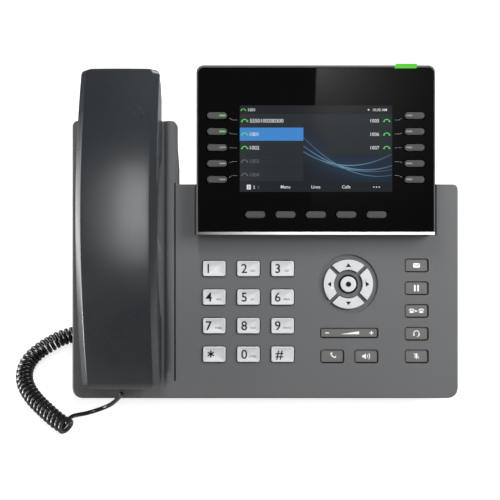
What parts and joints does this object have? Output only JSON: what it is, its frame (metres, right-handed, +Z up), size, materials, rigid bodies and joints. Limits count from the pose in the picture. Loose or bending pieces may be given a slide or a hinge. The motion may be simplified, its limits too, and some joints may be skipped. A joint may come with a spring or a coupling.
{
  "type": "desk ip phone",
  "caption": "Desk IP phone with a corded handset on a side cradle, keypad, raised colour display with line keys, navigation ring and rear footstand.",
  "frame": {"origin": "centre of the footprint of the phone on the desk, at desk height", "axes": "+Z up, -Y towards the user, +X to the right as the user sees it; the face is tilted 42 degrees from the desk"},
  "size_m": [0.2899, 0.1778, 0.173],
  "materials": {
    "grey_plastic": "satin fine texture",
    "dark_plastic": "fine texture",
    "handset_plastic": "satin",
    "housing_plastic": "satin",
    "window_glass": "mirror gloss",
    "silver_keys": "satin silver",
    "grey_keys": "satin",
    "screen": "lit panel",
    "lamp": "translucent",
    "rubber": "matte",
    "cord": "glossy flexible jacket",
    "board_green": "solder mask",
    "jack_black": "matte",
    "clear_plug": "smoked clear"
  },
  "bodies": {
    "base": {"front_cover": "grey_plastic", "rear_cover": "dark_plastic", "display_housing": "housing_plastic", "display_window": "window_glass", "lcd_module": "screen", "message_lamp": "lamp", "front_foot": "rubber", "handset_cord_coil": "cord", "handset_cord_lead": "cord", "base_cord_lead": "cord", "main_board": "board_green", "jack_block": "jack_black", "loudspeaker": "jack_black", "base_plug": "clear_plug"},
    "handset": {"handset_outer_shell": "handset_plastic", "handset_inner_shell": "handset_plastic", "handset_plug": "clear_plug"},
    "stand": {"footstand": "dark_plastic"},
    "rest_tab": {"handset_rest_tab": "grey_plastic"},
    "volume_rocker": {"volume_rocker": "grey_keys"},
    "hook_plunger": {"hook_switch": "dark_plastic"},
    "key_1": {"key_1": "silver_keys"},
    "key_2": {"key_2": "silver_keys"},
    "key_3": {"key_3": "silver_keys"},
    "key_4": {"key_4": "silver_keys"},
    "key_5": {"key_5": "silver_keys"},
    "key_6": {"key_6": "silver_keys"},
    "key_7": {"key_7": "silver_keys"},
    "key_8": {"key_8": "silver_keys"},
    "key_9": {"key_9": "silver_keys"},
    "key_star": {"key_star": "silver_keys"},
    "key_0": {"key_0": "silver_keys"},
    "key_hash": {"key_hash": "silver_keys"},
    "key_message": {"key_message": "grey_keys"},
    "key_hold": {"key_hold": "grey_keys"},
    "key_transfer": {"key_transfer": "grey_keys"},
    "key_headset": {"key_headset": "grey_keys"},
    "key_mute": {"key_mute": "grey_keys"},
    "key_send": {"key_send": "grey_keys"},
    "key_speaker": {"key_speaker": "grey_keys"},
    "line_key_left_1": {"line_key_left_1": "grey_keys"},
    "line_key_left_2": {"line_key_left_2": "grey_keys"},
    "line_key_left_3": {"line_key_left_3": "grey_keys"},
    "line_key_left_4": {"line_key_left_4": "grey_keys"},
    "line_key_left_5": {"line_key_left_5": "grey_keys"},
    "line_key_right_1": {"line_key_right_1": "grey_keys"},
    "line_key_right_2": {"line_key_right_2": "grey_keys"},
    "line_key_right_3": {"line_key_right_3": "grey_keys"},
    "line_key_right_4": {"line_key_right_4": "grey_keys"},
    "line_key_right_5": {"line_key_right_5": "grey_keys"},
    "soft_key_1": {"soft_key_1": "grey_keys"},
    "soft_key_2": {"soft_key_2": "grey_keys"},
    "soft_key_3": {"soft_key_3": "grey_keys"},
    "soft_key_4": {"soft_key_4": "grey_keys"},
    "soft_key_5": {"soft_key_5": "grey_keys"},
    "nav_up": {"nav_up": "silver_keys"},
    "nav_down": {"nav_down": "silver_keys"},
    "nav_left": {"nav_left": "silver_keys"},
    "nav_right": {"nav_right": "silver_keys"},
    "nav_ok": {"nav_ok": "silver_keys"}
  },
  "joints": [
    {"name": "handset_lift", "type": "slide", "parent": "base", "child": "handset", "axis": [0, -0.6691, 0.7431], "range_m": [0, 0.06]},
    {"name": "stand_unclip", "type": "slide", "parent": "base", "child": "stand", "axis": [0, -0.7431, -0.6691], "range_m": [0, 0.008]},
    {"name": "rest_tab_pull", "type": "slide", "parent": "base", "child": "rest_tab", "axis": [0, -0.6691, 0.7431], "range_m": [0, 0.007]},
    {"name": "volume_tilt", "type": "hinge", "parent": "base", "child": "volume_rocker", "pos_m": [0.0539, -0.03989, 0.03961], "axis": [0, 0.7431, 0.6691], "range_deg": [-2.5, 2.5], "stiffness_Nm_per_rad": 0.06},
    {"name": "hook_switch_rise", "type": "slide", "parent": "base", "child": "hook_plunger", "axis": [0, -0.6691, 0.7431], "range_m": [0, 0.0031]},
    {"name": "key_1_press", "type": "slide", "parent": "base", "child": "key_1", "axis": [0, 0.6691, -0.7431], "range_m": [0, 0.001], "stiffness_N_per_m": 400},
    {"name": "key_2_press", "type": "slide", "parent": "base", "child": "key_2", "axis": [0, 0.6691, -0.7431], "range_m": [0, 0.001], "stiffness_N_per_m": 400},
    {"name": "key_3_press", "type": "slide", "parent": "base", "child": "key_3", "axis": [0, 0.6691, -0.7431], "range_m": [0, 0.001], "stiffness_N_per_m": 400},
    {"name": "key_4_press", "type": "slide", "parent": "base", "child": "key_4", "axis": [0, 0.6691, -0.7431], "range_m": [0, 0.001], "stiffness_N_per_m": 400},
    {"name": "key_5_press", "type": "slide", "parent": "base", "child": "key_5", "axis": [0, 0.6691, -0.7431], "range_m": [0, 0.001], "stiffness_N_per_m": 400},
    {"name": "key_6_press", "type": "slide", "parent": "base", "child": "key_6", "axis": [0, 0.6691, -0.7431], "range_m": [0, 0.001], "stiffness_N_per_m": 400},
    {"name": "key_7_press", "type": "slide", "parent": "base", "child": "key_7", "axis": [0, 0.6691, -0.7431], "range_m": [0, 0.001], "stiffness_N_per_m": 400},
    {"name": "key_8_press", "type": "slide", "parent": "base", "child": "key_8", "axis": [0, 0.6691, -0.7431], "range_m": [0, 0.001], "stiffness_N_per_m": 400},
    {"name": "key_9_press", "type": "slide", "parent": "base", "child": "key_9", "axis": [0, 0.6691, -0.7431], "range_m": [0, 0.001], "stiffness_N_per_m": 400},
    {"name": "key_star_press", "type": "slide", "parent": "base", "child": "key_star", "axis": [0, 0.6691, -0.7431], "range_m": [0, 0.001], "stiffness_N_per_m": 400},
    {"name": "key_0_press", "type": "slide", "parent": "base", "child": "key_0", "axis": [0, 0.6691, -0.7431], "range_m": [0, 0.001], "stiffness_N_per_m": 400},
    {"name": "key_hash_press", "type": "slide", "parent": "base", "child": "key_hash", "axis": [0, 0.6691, -0.7431], "range_m": [0, 0.001], "stiffness_N_per_m": 400},
    {"name": "key_message_press", "type": "slide", "parent": "base", "child": "key_message", "axis": [0, 0.6691, -0.7431], "range_m": [0, 0.001], "stiffness_N_per_m": 400},
    {"name": "key_hold_press", "type": "slide", "parent": "base", "child": "key_hold", "axis": [0, 0.6691, -0.7431], "range_m": [0, 0.001], "stiffness_N_per_m": 400},
    {"name": "key_transfer_press", "type": "slide", "parent": "base", "child": "key_transfer", "axis": [0, 0.6691, -0.7431], "range_m": [0, 0.001], "stiffness_N_per_m": 400},
    {"name": "key_headset_press", "type": "slide", "parent": "base", "child": "key_headset", "axis": [0, 0.6691, -0.7431], "range_m": [0, 0.001], "stiffness_N_per_m": 400},
    {"name": "key_mute_press", "type": "slide", "parent": "base", "child": "key_mute", "axis": [0, 0.6691, -0.7431], "range_m": [0, 0.001], "stiffness_N_per_m": 400},
    {"name": "key_send_press", "type": "slide", "parent": "base", "child": "key_send", "axis": [0, 0.6691, -0.7431], "range_m": [0, 0.001], "stiffness_N_per_m": 400},
    {"name": "key_speaker_press", "type": "slide", "parent": "base", "child": "key_speaker", "axis": [0, 0.6691, -0.7431], "range_m": [0, 0.001], "stiffness_N_per_m": 400},
    {"name": "line_key_left_1_press", "type": "slide", "parent": "base", "child": "line_key_left_1", "axis": [0, 0.6691, -0.7431], "range_m": [0, 0.001], "stiffness_N_per_m": 400},
    {"name": "line_key_left_2_press", "type": "slide", "parent": "base", "child": "line_key_left_2", "axis": [0, 0.6691, -0.7431], "range_m": [0, 0.001], "stiffness_N_per_m": 400},
    {"name": "line_key_left_3_press", "type": "slide", "parent": "base", "child": "line_key_left_3", "axis": [0, 0.6691, -0.7431], "range_m": [0, 0.001], "stiffness_N_per_m": 400},
    {"name": "line_key_left_4_press", "type": "slide", "parent": "base", "child": "line_key_left_4", "axis": [0, 0.6691, -0.7431], "range_m": [0, 0.001], "stiffness_N_per_m": 400},
    {"name": "line_key_left_5_press", "type": "slide", "parent": "base", "child": "line_key_left_5", "axis": [0, 0.6691, -0.7431], "range_m": [0, 0.001], "stiffness_N_per_m": 400},
    {"name": "line_key_right_1_press", "type": "slide", "parent": "base", "child": "line_key_right_1", "axis": [0, 0.6691, -0.7431], "range_m": [0, 0.001], "stiffness_N_per_m": 400},
    {"name": "line_key_right_2_press", "type": "slide", "parent": "base", "child": "line_key_right_2", "axis": [0, 0.6691, -0.7431], "range_m": [0, 0.001], "stiffness_N_per_m": 400},
    {"name": "line_key_right_3_press", "type": "slide", "parent": "base", "child": "line_key_right_3", "axis": [0, 0.6691, -0.7431], "range_m": [0, 0.001], "stiffness_N_per_m": 400},
    {"name": "line_key_right_4_press", "type": "slide", "parent": "base", "child": "line_key_right_4", "axis": [0, 0.6691, -0.7431], "range_m": [0, 0.001], "stiffness_N_per_m": 400},
    {"name": "line_key_right_5_press", "type": "slide", "parent": "base", "child": "line_key_right_5", "axis": [0, 0.6691, -0.7431], "range_m": [0, 0.001], "stiffness_N_per_m": 400},
    {"name": "soft_key_1_press", "type": "slide", "parent": "base", "child": "soft_key_1", "axis": [0, 0.6691, -0.7431], "range_m": [0, 0.001], "stiffness_N_per_m": 400},
    {"name": "soft_key_2_press", "type": "slide", "parent": "base", "child": "soft_key_2", "axis": [0, 0.6691, -0.7431], "range_m": [0, 0.001], "stiffness_N_per_m": 400},
    {"name": "soft_key_3_press", "type": "slide", "parent": "base", "child": "soft_key_3", "axis": [0, 0.6691, -0.7431], "range_m": [0, 0.001], "stiffness_N_per_m": 400},
    {"name": "soft_key_4_press", "type": "slide", "parent": "base", "child": "soft_key_4", "axis": [0, 0.6691, -0.7431], "range_m": [0, 0.001], "stiffness_N_per_m": 400},
    {"name": "soft_key_5_press", "type": "slide", "parent": "base", "child": "soft_key_5", "axis": [0, 0.6691, -0.7431], "range_m": [0, 0.001], "stiffness_N_per_m": 400},
    {"name": "nav_up_press", "type": "slide", "parent": "base", "child": "nav_up", "axis": [0, 0.6691, -0.7431], "range_m": [0, 0.001], "stiffness_N_per_m": 400},
    {"name": "nav_down_press", "type": "slide", "parent": "base", "child": "nav_down", "axis": [0, 0.6691, -0.7431], "range_m": [0, 0.001], "stiffness_N_per_m": 400},
    {"name": "nav_left_press", "type": "slide", "parent": "base", "child": "nav_left", "axis": [0, 0.6691, -0.7431], "range_m": [0, 0.001], "stiffness_N_per_m": 400},
    {"name": "nav_right_press", "type": "slide", "parent": "base", "child": "nav_right", "axis": [0, 0.6691, -0.7431], "range_m": [0, 0.001], "stiffness_N_per_m": 400},
    {"name": "nav_ok_press", "type": "slide", "parent": "base", "child": "nav_ok", "axis": [0, 0.6691, -0.7431], "range_m": [0, 0.001], "stiffness_N_per_m": 400}
  ],
  "couplings": [
    {"joint": "hook_switch_rise", "follows": "handset_lift", "ratio": 0.05}
  ]
}
